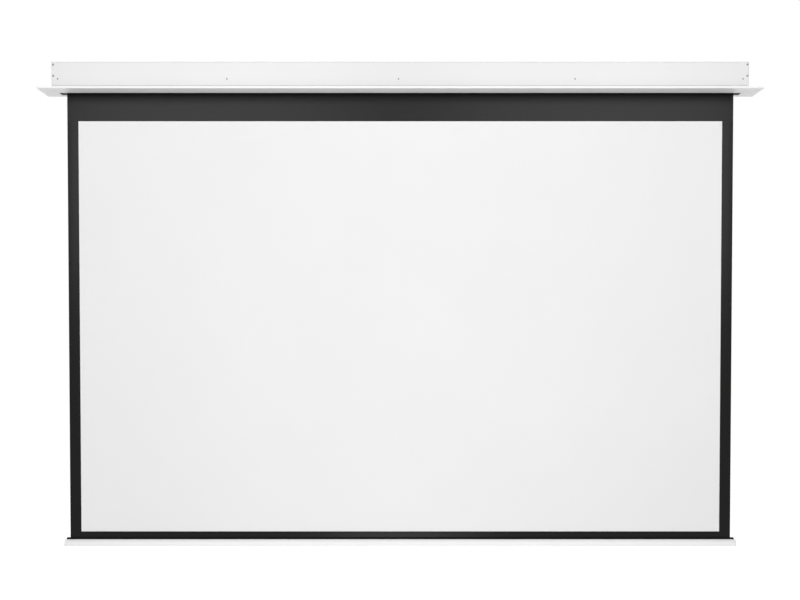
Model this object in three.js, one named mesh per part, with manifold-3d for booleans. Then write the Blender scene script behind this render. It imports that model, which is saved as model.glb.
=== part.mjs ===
// A motorised projection screen that hangs recessed in a ceiling, drawn with its fabric let down.
// Millimetres. +X runs along the case, the screen faces -Y, +Z is up.
// The origin is the middle of the case's top face, which hangs under the ceiling structure.
import * as THREE from 'three';
import { mergeVertices } from 'three/addons/utils/BufferGeometryUtils.js';
import Module from 'manifold-3d';

const wasm = await Module();
wasm.setup();

// Clearances
const seat = 0.25; // between pieces that rest on each other
const running = 0.3; // round a piece that turns in another
const overrun = 5; // how far a cutter runs past what it cuts

// Fabric
const imageWidth = 2900;
const imageHeight = 1855;
const sideBorder = 50;
const blackDrop = 121; // black fabric in sight above the image
const bottomBorder = 27;
const fabricThickness = 0.5;
const fabricWidth = imageWidth + 2 * sideBorder;
const fabricHalf = fabricWidth / 2;
const imageHalf = imageWidth / 2;

// Roller: a tube sized round the motor, with a groove for the fabric and a rod on the fabric's edge
const motorRadius = 25;
const crownWall = 4.7; // between the motor and the groove
const grooveMouth = 3.2;
const grooveWidth = 6.4;
const grooveLip = 1.4;
const grooveDepth = 7.2;
const grooveWall = 1.5;
const kederRadius = 2.6;
const kederSides = 12;
const tubeRadius = motorRadius + running + crownWall + running + grooveWall + grooveDepth;
const tubeWall = 2;
const tubeEnd = 4.5; // how far the tube runs past the fabric
const tubeSides = 40;
const wrapGap = 0.45;
const wrapTurns = 1.75; // turns that stay on the tube
const wrapSteps = 32;
const wrapPitch = fabricThickness + wrapGap;
const wrapInner = tubeRadius + running + fabricThickness / 2;
const wrapOuter = wrapInner + wrapPitch * wrapTurns;
const tubeHalf = fabricHalf + tubeEnd;

// Case of folded sheet steel, sized round the roller
const endRoom = 40; // from the fabric's edge to the end of the case
const frontRoom = 28.575; // from the roll to the outside of the front wall
const rearRoom = 35; // from the hanging fabric to the outside of the rear wall
const overRoom = 9.7875; // from the roll to the case's top
const underRoom = 70; // from the roller's axis to the trim's underside
const sheet = 1.5;
const endSheet = 3;
const topLeg = 10; // the top panel's folded edges
const endLip = 20; // the end plates' folded edges
const caseHalf = fabricHalf + endRoom;
const wallY = (frontRoom + 2 * wrapOuter + rearRoom) / 2;
const fabricY = wallY - rearRoom;
const rollerY = fabricY - wrapOuter;
const rollerZ = -(wrapOuter + overRoom);
const undersideZ = rollerZ - underRoom;
const panelHalf = caseHalf - endSheet - seat;

// Ceiling trim
const trimEndReach = 60;
const trimFrontReach = 29;
const trimRearReach = 25;
const trimSheet = 2;
const trimLip = 6.5;
const trimUpstand = 18;
const tongueTop = 54; // above the trim's underside
const shadowGap = 0.8; // the dark line between trim and front panel
const slotInset = 12; // from the end of the case
const slotDepth = 59;
const sidePlateBeyond = 10; // past the bracket on either side
const sidePlateAbove = 8; // over the bracket screws that hold it
const trimHalf = caseHalf + trimEndReach;
const slotHalf = caseHalf - slotInset;
const trimFrontY = -wallY - trimFrontReach;
const trimRearY = wallY + trimRearReach;
const slotFrontY = fabricY - slotDepth / 2;
const slotRearY = fabricY + slotDepth / 2;

// Screws
const shankRadius = 1.75;
const screwHeadRadius = 3.2;
const screwHeadHeight = 1.7;
const screwReach = 6.5; // under the head, for the panels
const endScrewReach = 11.5; // under the head, for the roller's brackets
const screwTip = 1;
const screwHole = shankRadius + running;
const recessRadius = 1.4;
const recessDepth = 1;
const screwSides = 10;
const endScrewInset = 8; // from the end of the case
const upperScrewDrop = 12; // from the case's top
const lowerScrewRise = 59.5; // above the trim's underside, and so for the row
const rowScrewRise = 46.3;
const rowScrewInset = 27;
const frontRowShares = [-1, -0.506, -0.005, 0.51, 1];
const rearRowShares = [-0.5, 0, 0.5];

// Hanger nuts under the top panel
const nutAcross = 13;
const nutHeight = 6.5;
const nutBore = 4;
const nutInset = 440; // from the end of the case
const nutY = 52;

// Brackets and bearings on the end plates
const bracketPlate = 4;
const bracketInset = 6.2125; // from the roll's sides
const bracketAbove = 37; // the roller's axis
const bracketBelow = 40;
const bracketScrewBelow = 34;
const bracketScrewInset = 11; // from the bracket's sides
const bracketHalf = wrapOuter - bracketInset;
const bracketScrewY = bracketHalf - bracketScrewInset;
const bracketScrewZ = rollerZ - bracketScrewBelow;
const bracketX = caseHalf - endSheet - seat - bracketPlate; // its inner face
const stubSide = 15;
const pinRadius = 6;
const pinLength = 84;
const pinSides = 24;
const bushRadius = 9;
const bushFlange = 12;
const bushFlangeThickness = 2;
const plugLength = 60;
const plugFlange = 2.7;

// Tubular motor
const motorLength = 575;
const motorSides = 32;
const headRadius = 35;
const headFlat = 30; // from the axis down to the flat with the limit screws
const headGap = 0.6; // between the head and the turning tube
const crownThickness = 20;
const crownPlace = 8; // from the end of the tube
const wheelThickness = 22;
const shaftSide = 10;
const shaftLength = 30;
const limitScrewRadius = 3.2;
const limitScrewLength = 9;
const limitScrewProud = 1.5;
const limitScrewY = 9; // either side of the roller's axis
const hexAcross = 3;
const hexDepth = 3;
const limitSides = 16;

// Power inlet and the lead between it and the motor
const inletWidth = 24;
const inletHeight = 20;
const inletBody = 20; // inside the end plate's outer face
const inletRim = 3.5;
const inletRimThickness = 2.2;
const inletWall = 1.5;
const inletCavity = 13;
const bladeWidth = 2;
const bladeHeight = 4;
const bladeLength = 10;
const bladePitch = 6.5;
const bladeDrop = 3;
const inletGap = 1.7875; // to the motor's bracket
const inletDrop = 28; // from the case's top
const inletY = rollerY - bracketHalf - inletGap - inletWidth / 2;
const inletZ = -inletDrop;
const leadRadius = 3.2;
const leadSides = 8;
const leadSteps = 24;

// Bottom bar
const barSideGap = 2.5; // to the slot's long edges
const barEndGap = 6; // to the slot's ends
const barHeight = 28.4;
const barWall = 2;
const barCap = 6.75;
const barTopFlat = 8; // half the flat on its top
const spigotLength = 10;
const spigotHalf = 15;
const spigotHeight = 13;
const spigotLift = 4;
const domeSteps = 14;
const clampHeight = 7.6;
const clampChamfer = 1.6;
const footNeck = 2.3; // half widths and depths of the clamp's foot
const footHalf = 3.6;
const footHeight = 2.2;
const lipDepth = 1.6;
const channelWall = 1.4;
const hemRadius = 1.8;
const hemSides = 12;
const clampMouth = 1.1;
const hemDrop = 4.2; // from the clamp's top to the rod's middle
const barDepth = slotDepth - 2 * barSideGap;
const barHalf = slotHalf - barEndGap - barCap - seat;

// Heights that follow
const imageTopZ = undersideZ - blackDrop;
const imageBottomZ = imageTopZ - imageHeight;
const clampTopZ = imageBottomZ - bottomBorder;
const barTopZ = clampTopZ - clampHeight;
const barBottomZ = barTopZ - barHeight;

// Finishes
const finish = (color, roughness, metalness) =>
  new THREE.MeshStandardMaterial({ color, roughness, metalness });
const whitePaint = finish(0xf1f1f1, 0.4, 0);
const screwZinc = finish(0x5c5d5f, 0.4, 0.9);
const steel = finish(0x9a9ca0, 0.4, 0.9);
const galvanised = finish(0xb3b6ba, 0.5, 0.8);
const aluminium = finish(0xc4c6c9, 0.35, 0.9);
const motorPaint = finish(0x2b2d30, 0.5, 0.2);
const blackPlastic = finish(0x1b1b1c, 0.5, 0);
const greyPlastic = finish(0x77797c, 0.55, 0);
const brass = finish(0xb79a55, 0.35, 0.9);
const cableSheath = finish(0x161616, 0.6, 0);
const blackFabric = finish(0x2a2a2b, 0.6, 0);
const whiteFabric = finish(0xf3f3f2, 0.85, 0);

const root = new THREE.Group();
const roller = new THREE.Group();
roller.position.set(0, rollerY, rollerZ);
const bar = new THREE.Group();
bar.position.set(0, fabricY, barBottomZ);
root.add(roller, bar);

const bothEnds = [['left', -1], ['right', 1]];
const bothWalls = [['front', -1], ['rear', 1]];

// A box between two corners
function block([x0, y0, z0], [x1, y1, z1]) {
  const mesh = new THREE.Mesh(new THREE.BoxGeometry(x1 - x0, y1 - y0, z1 - z0));
  mesh.position.set((x0 + x1) / 2, (y0 + y1) / 2, (z0 + z1) / 2);
  return mesh;
}

function outline(points) {
  return new THREE.Shape(points.map(([a, b]) => new THREE.Vector2(a, b)));
}

function circle(radius, sides, a = 0, b = 0) {
  const points = [];
  for (let i = 0; i < sides; i++) {
    const turn = (i / sides) * 2 * Math.PI;
    points.push([a + radius * Math.cos(turn), b + radius * Math.sin(turn)]);
  }
  return outline(points);
}

function extruded(shape, depth) {
  return new THREE.Mesh(new THREE.ExtrudeGeometry(shape, { depth, bevelEnabled: false }));
}

// A section drawn in Y and Z, drawn out along X from x0 to x1
function section(shape, x0, x1) {
  const mesh = extruded(shape, x1 - x0);
  mesh.rotation.set(Math.PI / 2, Math.PI / 2, 0);
  mesh.position.x = x0;
  return mesh;
}

// A cylinder whose axis lies along X, Y or Z
function rod(axis, radius, length, sides, [x, y, z]) {
  const mesh = new THREE.Mesh(new THREE.CylinderGeometry(radius, radius, length, sides));
  mesh.rotation.set(axis === 'z' ? Math.PI / 2 : 0, 0, axis === 'x' ? Math.PI / 2 : 0);
  mesh.position.set(x, y, z);
  return mesh;
}

// A placed mesh as a closed solid in its group's frame
function solidOf(mesh) {
  mesh.updateMatrix();
  const geometry = mesh.geometry.clone().applyMatrix4(mesh.matrix);
  geometry.deleteAttribute('normal');
  geometry.deleteAttribute('uv');
  const merged = mergeVertices(geometry);
  return new wasm.Manifold(new wasm.Mesh({
    numProp: 3,
    vertProperties: merged.attributes.position.array,
    triVerts: new Uint32Array(merged.index.array),
  }));
}

// The first mesh with others joined to it, and then others cut out of it
function shaped(base, joined, cut = []) {
  let solid = solidOf(base);
  for (const mesh of joined) solid = solid.add(solidOf(mesh));
  for (const mesh of cut) solid = solid.subtract(solidOf(mesh));
  const result = solid.getMesh();
  const geometry = new THREE.BufferGeometry();
  geometry.setAttribute('position', new THREE.BufferAttribute(result.vertProperties, 3));
  geometry.setIndex(new THREE.BufferAttribute(result.triVerts, 1));
  geometry.computeVertexNormals();
  return new THREE.Mesh(geometry);
}

function place(group, name, mesh, material) {
  mesh.name = name;
  mesh.material = material;
  group.add(mesh);
}

// Where the screws go through the long walls: [name, x, z]
function wallScrews(side) {
  const shares = side === 'front' ? frontRowShares : rearRowShares;
  const reach = caseHalf - rowScrewInset;
  const rowZ = undersideZ + rowScrewRise;
  const places = shares.map((share, i) => [`row_${i + 1}`, share * reach, rowZ]);
  for (const [end, sign] of bothEnds) {
    const x = sign * (caseHalf - endScrewInset);
    places.push([`${end}_upper`, x, -upperScrewDrop]);
    places.push([`${end}_lower`, x, undersideZ + lowerScrewRise]);
  }
  return places.map(([name, x, z]) => [`${side}_screw_${name}`, x, z]);
}

function wallScrewHoles(side, sign) {
  return wallScrews(side).map(([, x, z]) =>
    rod('y', screwHole, 2 * overrun, screwSides, [x, sign * wallY, z]));
}

// Case: a top panel with folded edges, two long walls and two end plates with folded lips
function topPanel() {
  const inner = wallY - sheet - seat;
  const top = block([-panelHalf, -wallY, -sheet], [panelHalf, wallY, 0]);
  const legX = panelHalf - endLip - seat;
  const legs = bothWalls.map(([, sign]) => {
    const [near, far] = [inner - sheet, inner].map((y) => sign * y).sort((a, b) => a - b);
    return block([-legX, near, -topLeg], [legX, far, -sheet / 2]);
  });
  const holes = hangerPlaces().map(([x, y]) => rod('z', nutBore, 2 * overrun, limitSides, [x, y, 0]));
  place(root, 'top_panel', shaped(top, legs, holes), whitePaint);
}

function hangerPlaces() {
  const nutX = caseHalf - nutInset;
  return bothEnds.flatMap(([, sx]) => bothWalls.map(([, sy]) => [sx * nutX, sy * nutY]));
}

function hangerNuts() {
  hangerPlaces().forEach(([x, y], i) => {
    const hexagon = circle(nutAcross / Math.sqrt(3), 6);
    hexagon.holes.push(circle(nutBore, limitSides));
    const nut = extruded(hexagon, nutHeight);
    nut.position.set(x, y, -sheet - seat - nutHeight);
    place(root, `hanger_nut_${i + 1}`, nut, steel);
  });
}

function longWall(side, sign) {
  const faces = [wallY - sheet, wallY].map((y) => sign * y).sort((a, b) => a - b);
  const lowZ = undersideZ + trimUpstand + shadowGap;
  const wall = block([-panelHalf, faces[0], lowZ], [panelHalf, faces[1], -sheet - seat]);
  place(root, `${side}_panel`, shaped(wall, [], wallScrewHoles(side, sign)), whitePaint);
}

function endPlate(end, sign) {
  const inner = wallY - sheet - seat;
  const lowZ = undersideZ + trimSheet + seat;
  const plate = block(
    [Math.min(sign * (caseHalf - endSheet), sign * caseHalf), -wallY, lowZ],
    [Math.max(sign * (caseHalf - endSheet), sign * caseHalf), wallY, 0]);
  const lips = bothWalls.map(([, sy]) => block(
    [Math.min(sign * (caseHalf - endLip), sign * caseHalf), Math.min(sy * inner, sy * (inner - sheet)),
      undersideZ + tongueTop + seat],
    [Math.max(sign * (caseHalf - endLip), sign * caseHalf), Math.max(sy * inner, sy * (inner - sheet)),
      -sheet - seat]));
  const x = sign * caseHalf;
  const holes = bothWalls.flatMap(([side, sy]) => wallScrewHoles(side, sy));
  const bracketHoles = bothWalls.map(([, sy]) =>
    rod('x', screwHole, 4 * overrun, screwSides, [x, rollerY + sy * bracketScrewY, bracketScrewZ]));
  holes.push(...bracketHoles);
  if (end === 'left') {
    const [halfY, halfZ] = [inletWidth / 2 + seat, inletHeight / 2 + seat];
    const [low, high] = [[inletY - halfY, inletZ - halfZ], [inletY + halfY, inletZ + halfZ]];
    holes.push(block([x - overrun, ...low], [x + overrun, ...high]));
  }
  place(root, `end_plate_${end}`, shaped(plate, lips, holes), whitePaint);
}

// Screws: a pan head with a recess, on a plain shank with a tip
function screw(name, reach, turn, x, y, z) {
  const profile = [
    [0, -reach], [shankRadius, -reach + screwTip], [shankRadius, seat], [screwHeadRadius, seat],
    [screwHeadRadius, screwHeadHeight / 2], [screwHeadRadius - recessDepth, screwHeadHeight + seat],
    [recessRadius, screwHeadHeight + seat], [0, screwHeadHeight + seat - recessDepth],
  ].map(([r, h]) => new THREE.Vector2(r, h));
  const mesh = new THREE.Mesh(new THREE.LatheGeometry(profile, screwSides));
  mesh.rotation.set(...turn);
  mesh.position.set(x, y, z);
  place(root, name, mesh, screwZinc);
}

function screws() {
  for (const [side, sign] of bothWalls)
    for (const [name, x, z] of wallScrews(side))
      screw(name, screwReach, [sign < 0 ? Math.PI : 0, 0, 0], x, sign * wallY, z);
  for (const [end, sx] of bothEnds)
    for (const [side, sy] of bothWalls)
      screw(`bracket_screw_${end}_${side}`, endScrewReach, [0, 0, -sx * Math.PI / 2],
        sx * (caseHalf + seat + trimSheet), rollerY + sy * bracketScrewY, bracketScrewZ);
}

// Ceiling trim: four plates mitred at the corners, each with an upturned outer lip
function trimPlate(corners, lipInside) {
  const plate = extruded(outline(corners), trimLip);
  plate.position.z = undersideZ;
  const [low, high] = lipInside;
  const cutter = block([...low, undersideZ + trimSheet], [...high, undersideZ + 2 * trimLip]);
  return [plate, cutter];
}

function longTrim(side, sign) {
  const outerY = sign < 0 ? trimFrontY : trimRearY;
  const slotY = sign < 0 ? slotFrontY : slotRearY;
  const [outerX, slotX] = [trimHalf - seat, slotHalf - seat];
  const lipY = outerY - sign * trimSheet;
  const beyondY = slotY - sign * overrun;
  const reachX = trimHalf + overrun;
  const [plate, cutter] = trimPlate(
    [[-outerX, outerY], [outerX, outerY], [slotX, slotY], [-slotX, slotY]],
    [[-reachX, Math.min(lipY, beyondY)], [reachX, Math.max(lipY, beyondY)]]);
  const inner = wallY - sheet - seat;
  const upstand = section(outline([
    [sign * wallY, undersideZ + trimSheet + seat], [sign * (inner - sheet), undersideZ + trimSheet + seat],
    [sign * (inner - sheet), undersideZ + tongueTop], [sign * inner, undersideZ + tongueTop],
    [sign * inner, undersideZ + trimUpstand], [sign * wallY, undersideZ + trimUpstand],
  ]), -panelHalf, panelHalf);
  const foot = section(outline([
    [sign * wallY, undersideZ + trimSheet / 2], [sign * (inner - sheet), undersideZ + trimSheet / 2],
    [sign * (inner - sheet), undersideZ + 2 * trimSheet], [sign * wallY, undersideZ + 2 * trimSheet],
  ]), -slotHalf, slotHalf);
  const tray = shaped(plate, [], [cutter]);
  place(root, `trim_${side}`, shaped(tray, [upstand, foot], wallScrewHoles(side, sign)), whitePaint);
}

function endTrim(end, sign) {
  const lipX = sign * (trimHalf - trimSheet);
  const beyondX = sign * (slotHalf - overrun);
  const [plate, cutter] = trimPlate(
    [[sign * trimHalf, trimFrontY], [sign * trimHalf, trimRearY], [sign * slotHalf, slotRearY],
      [sign * slotHalf, slotFrontY]],
    [[Math.min(lipX, beyondX), trimFrontY - overrun], [Math.max(lipX, beyondX), trimRearY + overrun]]);
  const faces = [caseHalf + seat, caseHalf + seat + trimSheet].map((x) => sign * x).sort((a, b) => a - b);
  const sideHalf = bracketHalf + sidePlateBeyond;
  const upstand = block(
    [faces[0], rollerY - sideHalf, undersideZ + trimSheet + seat],
    [faces[1], rollerY + sideHalf, bracketScrewZ + sidePlateAbove]);
  const foot = block([faces[0], slotFrontY, undersideZ + trimSheet / 2],
    [faces[1], rollerY + sideHalf, undersideZ + 2 * trimSheet]);
  const holes = bothWalls.map(([, sy]) => rod('x', screwHole, 2 * overrun, screwSides,
    [sign * (caseHalf + seat + trimSheet), rollerY + sy * bracketScrewY, bracketScrewZ]));
  const tray = shaped(plate, [], [cutter]);
  place(root, `trim_${end}`, shaped(tray, [upstand, foot], holes), whitePaint);
}

// The tube's bore, drawn inside by a clearance, with room for the fabric groove at the bottom
function tubeBore(clearance) {
  const radius = tubeRadius - tubeWall - clearance;
  const half = grooveWidth / 2 + grooveWall + clearance;
  const depth = tubeRadius - grooveDepth - grooveWall - clearance;
  return grooved(radius, half, [[half, -depth], [-half, -depth]]);
}

// A circle that is broken at the bottom, with other points across the gap, from +Y to -Y
function grooved(radius, half, across) {
  const start = Math.asin(half / radius);
  const points = [];
  for (let i = 0; i <= tubeSides; i++) {
    const turn = -Math.PI / 2 + start + ((2 * Math.PI - 2 * start) * i) / tubeSides;
    points.push([radius * Math.cos(turn), radius * Math.sin(turn)]);
  }
  return outline([...points, ...across.map(([a, b]) => [-a, b])]);
}

function rollerTube() {
  const mouth = grooveMouth / 2;
  const half = grooveWidth / 2;
  const lipZ = -(tubeRadius - grooveLip);
  const floorZ = -(tubeRadius - grooveDepth);
  const shape = grooved(tubeRadius, mouth,
    [[mouth, lipZ], [half, lipZ], [half, floorZ], [-half, floorZ], [-half, lipZ], [-mouth, lipZ]]);
  shape.holes.push(tubeBore(0));
  place(roller, 'roller_tube', section(shape, -tubeHalf, tubeHalf), aluminium);
  const kederZ = floorZ - kederRadius - running;
  const keder = section(circle(kederRadius, kederSides, 0, kederZ), -fabricHalf, fabricHalf);
  place(roller, 'fabric_keder', keder, greyPlastic);
}

// The turns of fabric that stay on the tube: one strip, wound from its tangent point over the top
// and tucked into the groove at its end
function woundFabric() {
  const steps = Math.round(wrapSteps * wrapTurns);
  const ring = (offset) => Array.from({ length: steps + 1 }, (_, i) => {
    const turn = (i / wrapSteps) * 2 * Math.PI;
    const radius = wrapOuter - (wrapPitch * i) / wrapSteps + offset;
    return [radius * Math.cos(turn), radius * Math.sin(turn)];
  });
  const outer = ring(fabricThickness / 2);
  const inner = ring(-fabricThickness / 2);
  const gaps = outer.slice(wrapSteps).map(([a, b], i) => Math.hypot(a - inner[i][0], b - inner[i][1]));
  console.log(`least gap between the turns of fabric: ${Math.min(...gaps).toFixed(2)} mm`);
  const mouth = -(tubeRadius - grooveLip);
  const tuck = [[fabricThickness, -wrapInner - fabricThickness / 2], [fabricThickness, mouth], [0, mouth]];
  const strip = outline([...outer, ...tuck, ...inner.reverse()]);
  place(roller, 'wound_fabric', section(strip, -fabricHalf, fabricHalf), blackFabric);
}

// Motor: fixed tube and head, with a crown and a driving wheel that turn with the roller
function motor() {
  const headEnd = -(tubeHalf + headGap);
  const farEnd = headEnd + motorLength;
  const tube = rod('x', motorRadius, motorLength - seat, motorSides, [(headEnd + farEnd + seat) / 2, 0, 0]);
  place(roller, 'motor_tube', tube, motorPaint);

  const headBack = -(bracketX - seat);
  const turn = Math.asin(headFlat / headRadius);
  const rim = Array.from({ length: motorSides + 1 }, (_, i) => {
    const at = -turn + ((Math.PI + 2 * turn) * i) / motorSides;
    return [headRadius * Math.cos(at), headRadius * Math.sin(at)];
  });
  const head = section(outline(rim), headBack, headEnd);
  const stub = block([-(bracketX + bracketPlate), -stubSide / 2, -stubSide / 2],
    [headBack + overrun, stubSide / 2, stubSide / 2]);
  const limitX = (headBack + headEnd) / 2;
  const limitHole = limitScrewLength - limitScrewProud + running;
  const holes = [-limitScrewY, limitScrewY].map((y) => rod('z', limitScrewRadius + running,
    2 * limitHole, limitSides, [limitX, y, -headFlat]));
  place(roller, 'motor_head', shaped(head, [stub], holes), blackPlastic);

  for (const [name, y] of [['up', -limitScrewY], ['down', limitScrewY]]) {
    const low = -headFlat - limitScrewProud;
    const middle = [limitX, y, low + limitScrewLength / 2];
    const body = rod('z', limitScrewRadius, limitScrewLength, limitSides, middle);
    const socket = rod('z', hexAcross / Math.sqrt(3), 2 * hexDepth, 6, [limitX, y, low]);
    place(roller, `limit_screw_${name}`, shaped(body, [], [socket]), brass);
  }

  const crown = tubeBore(running);
  crown.holes.push(circle(motorRadius + running, motorSides));
  const crownX = -tubeHalf + crownPlace;
  place(roller, 'motor_crown', section(crown, crownX, crownX + crownThickness), greyPlastic);

  const shaftX = farEnd + running;
  const wheelX = shaftX + (shaftLength - wheelThickness) / 2;
  const wheel = tubeBore(running);
  const half = shaftSide / 2 + seat;
  wheel.holes.push(outline([[-half, -half], [half, -half], [half, half], [-half, half]]));
  place(roller, 'drive_wheel', section(wheel, wheelX, wheelX + wheelThickness), greyPlastic);
  place(roller, 'output_shaft', block([shaftX, -shaftSide / 2, -shaftSide / 2],
    [shaftX + shaftLength, shaftSide / 2, shaftSide / 2]), steel);
}

function bracket(end, sign, hole) {
  const faces = [bracketX, bracketX + bracketPlate].map((x) => sign * x).sort((a, b) => a - b);
  const plate = block([faces[0], rollerY - bracketHalf, rollerZ - bracketBelow],
    [faces[1], rollerY + bracketHalf, rollerZ + bracketAbove]);
  const screwHoles = bothWalls.map(([, sy]) => rod('x', screwHole, 4 * overrun, screwSides,
    [sign * bracketX, rollerY + sy * bracketScrewY, bracketScrewZ]));
  place(root, end === 'left' ? 'motor_bracket' : 'idler_bracket',
    shaped(plate, [], [hole, ...screwHoles]), galvanised);
}

function brackets() {
  const half = stubSide / 2 + seat;
  bracket('left', -1, block([-bracketX - 2 * overrun, rollerY - half, rollerZ - half],
    [-bracketX + overrun, rollerY + half, rollerZ + half]));
  bracket('right', 1, rod('x', bushRadius + running, 4 * overrun, pinSides, [bracketX, rollerY, rollerZ]));
}

// Idler end: a plug in the tube carries a steel pin that turns in a flanged bush
function idler() {
  const pinEnd = bracketX + bracketPlate - seat;
  const pin = rod('x', pinRadius, pinLength, pinSides, [pinEnd - pinLength / 2, 0, 0]);
  place(roller, 'idler_pin', pin, steel);

  const hole = rod('x', pinRadius + seat, 2 * plugLength + 2 * overrun, pinSides, [tubeHalf, 0, 0]);
  const body = section(tubeBore(running), tubeHalf - plugLength, tubeHalf + seat);
  const flange = rod('x', tubeRadius, plugFlange, tubeSides, [tubeHalf + seat + plugFlange / 2, 0, 0]);
  place(roller, 'idler_plug', shaped(body, [flange], [hole]), greyPlastic);

  const flangeX = bracketX - seat;
  const rimX = flangeX - bushFlangeThickness / 2;
  const bush = rod('x', bushRadius, bracketPlate, pinSides, [flangeX + bracketPlate / 2, 0, 0]);
  const rim = rod('x', bushFlange, bushFlangeThickness, pinSides, [rimX, 0, 0]);
  const bore = rod('x', pinRadius + running, 4 * overrun, pinSides, [bracketX, 0, 0]);
  place(roller, 'idler_bush', shaped(rim, [bush], [bore]), blackPlastic);
}

// Power inlet in the left end plate, with three blades in its socket
function powerInlet() {
  const face = -(caseHalf + seat);
  const [halfY, halfZ] = [inletWidth / 2, inletHeight / 2];
  const at = (x, y, z) => [x, inletY + y, inletZ + z];
  const rimHalf = [halfY + inletRim, halfZ + inletRim];
  const rim = block(at(face - inletRimThickness, -rimHalf[0], -rimHalf[1]), at(face, ...rimHalf));
  const body = block(at(face - inletRimThickness / 2, -halfY, -halfZ), at(face + inletBody, halfY, halfZ));
  const [inY, inZ] = [halfY - inletWall, halfZ - inletWall];
  const cavity = block(at(face - inletRimThickness - overrun, -inY, -inZ),
    at(face + inletCavity, inY, inZ));
  const shell = shaped(rim, [body], [cavity]);
  const blades = [-bladePitch, 0, bladePitch].map((y) => block(
    at(face + inletCavity - bladeLength, y - bladeWidth / 2, -bladeDrop - bladeHeight / 2),
    at(face + inletCavity + inletWall, y + bladeWidth / 2, -bladeDrop + bladeHeight / 2)));
  place(root, 'power_inlet', shaped(shell, blades), blackPlastic);
}

// The lead is clipped between the motor's head and the inlet, clear of the roller
function motorLead() {
  const headX = -(bracketX - seat + tubeHalf + headGap) / 2;
  const headY = rollerY - headRadius - running;
  const inletX = -(caseHalf + seat) + inletBody + running;
  const reach = inletX - headX;
  const route = [
    [headX, headY, rollerZ], [headX, headY - 2 * leadRadius, rollerZ],
    [headX + leadRadius, headY - 4 * leadRadius, rollerZ + leadRadius / 2],
    [headX + 4 * leadRadius, inletY - leadRadius, rollerZ + 2 * leadRadius],
    [headX + 7 * leadRadius, inletY - leadRadius, rollerZ + 4 * leadRadius],
    [headX + 6 * leadRadius, inletY, inletZ - leadRadius],
    [headX + reach + 3 * leadRadius, inletY, inletZ],
    [inletX, inletY, inletZ],
  ].map((point) => new THREE.Vector3(...point));
  const geometry = new THREE.ExtrudeGeometry(circle(leadRadius, leadSides), {
    steps: leadSteps,
    extrudePath: new THREE.CatmullRomCurve3(route),
  });
  place(root, 'motor_lead', new THREE.Mesh(geometry), cableSheath);
}

// The fabric is welded from a black surround and a white field
function fabric() {
  const half = fabricThickness / 2;
  const piece = (name, x0, x1, z0, z1, material) => place(root, name,
    block([x0, fabricY - half, z0], [x1, fabricY + half, z1]), material);
  piece('top_drop', -fabricHalf, fabricHalf, imageTopZ, rollerZ - running, blackFabric);
  piece('projection_surface', -imageHalf, imageHalf, imageBottomZ, imageTopZ - seat, whiteFabric);
  piece('border_left', -fabricHalf, -imageHalf - seat, imageBottomZ, imageTopZ - seat, blackFabric);
  piece('border_right', imageHalf + seat, fabricHalf, imageBottomZ, imageTopZ - seat, blackFabric);
  piece('border_bottom', -fabricHalf, fabricHalf, clampTopZ - hemDrop + hemRadius + running,
    imageBottomZ - seat, blackFabric);
}

// Bottom bar: a hollow domed profile, an end cap each side, and the clamp that holds the fabric
function dome(depth, height, flat, base) {
  const rise = height / Math.sqrt(1 - (flat / depth) ** 2);
  const end = Math.acos(flat / depth);
  return Array.from({ length: domeSteps + 1 }, (_, i) => {
    const turn = (end * i) / domeSteps;
    return [depth * Math.cos(turn), base + rise * Math.sin(turn)];
  });
}

const mirrored = (points) => points.map(([a, b]) => [-a, b]).reverse();

function bottomBar() {
  const outer = dome(barDepth / 2, barHeight, barTopFlat, 0);
  const channelFloor = barHeight - lipDepth - footHeight - 2 * running;
  const channel = [
    [footNeck + running, barHeight], [footNeck + running, barHeight - lipDepth],
    [footHalf + running, barHeight - lipDepth], [footHalf + running, channelFloor],
  ];
  const profile = outline([...outer, ...channel, ...mirrored(channel), ...mirrored(outer)]);
  const inside = dome(barDepth / 2 - barWall, barHeight - 2 * barWall, barTopFlat, barWall);
  const guard = [
    [footHalf + running + channelWall, barHeight - barWall],
    [footHalf + running + channelWall, channelFloor - channelWall],
  ];
  profile.holes.push(outline([...inside, ...guard, ...mirrored(guard), ...mirrored(inside)]));
  place(bar, 'bar_profile', section(profile, -barHalf, barHalf), whitePaint);

  for (const [end, sign] of bothEnds) {
    const across = (x0, x1) => [sign * x0, sign * x1].sort((a, b) => a - b);
    const ends = across(barHalf + seat, barHalf + seat + barCap);
    const cap = section(outline([...outer, ...mirrored(outer)]), ...ends);
    const [near, far] = across(barHalf - spigotLength, barHalf + seat + barCap / 2);
    const spigot = block([near, -spigotHalf, spigotLift], [far, spigotHalf, spigotLift + spigotHeight]);
    place(bar, `bar_cap_${end}`, shaped(cap, [spigot]), whitePaint);
  }
}

function fabricClamp() {
  const base = barHeight + seat;
  const top = barHeight + clampHeight;
  const foot = barHeight - lipDepth - running;
  const hemZ = top - hemDrop;
  const bore = hemRadius + running;
  const mouth = clampMouth / 2;
  const gap = Math.asin(mouth / bore);
  const round = Array.from({ length: hemSides + 1 }, (_, i) => {
    const turn = Math.PI / 2 - gap - ((2 * Math.PI - 2 * gap) * i) / hemSides;
    return [bore * Math.cos(turn), hemZ + bore * Math.sin(turn)];
  });
  const side = [
    [barTopFlat - clampChamfer, top], [barTopFlat, top - clampChamfer], [barTopFlat, base],
    [footNeck, base], [footNeck, foot], [footHalf, foot], [footHalf, foot - footHeight],
  ];
  const shape = outline([[mouth, top], ...side, ...mirrored(side), [-mouth, top], ...round.reverse()]);
  place(bar, 'fabric_clamp', section(shape, -barHalf, barHalf), blackPlastic);
  place(bar, 'hem_rod', section(circle(hemRadius, hemSides, 0, hemZ), -barHalf, barHalf), steel);
}

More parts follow.
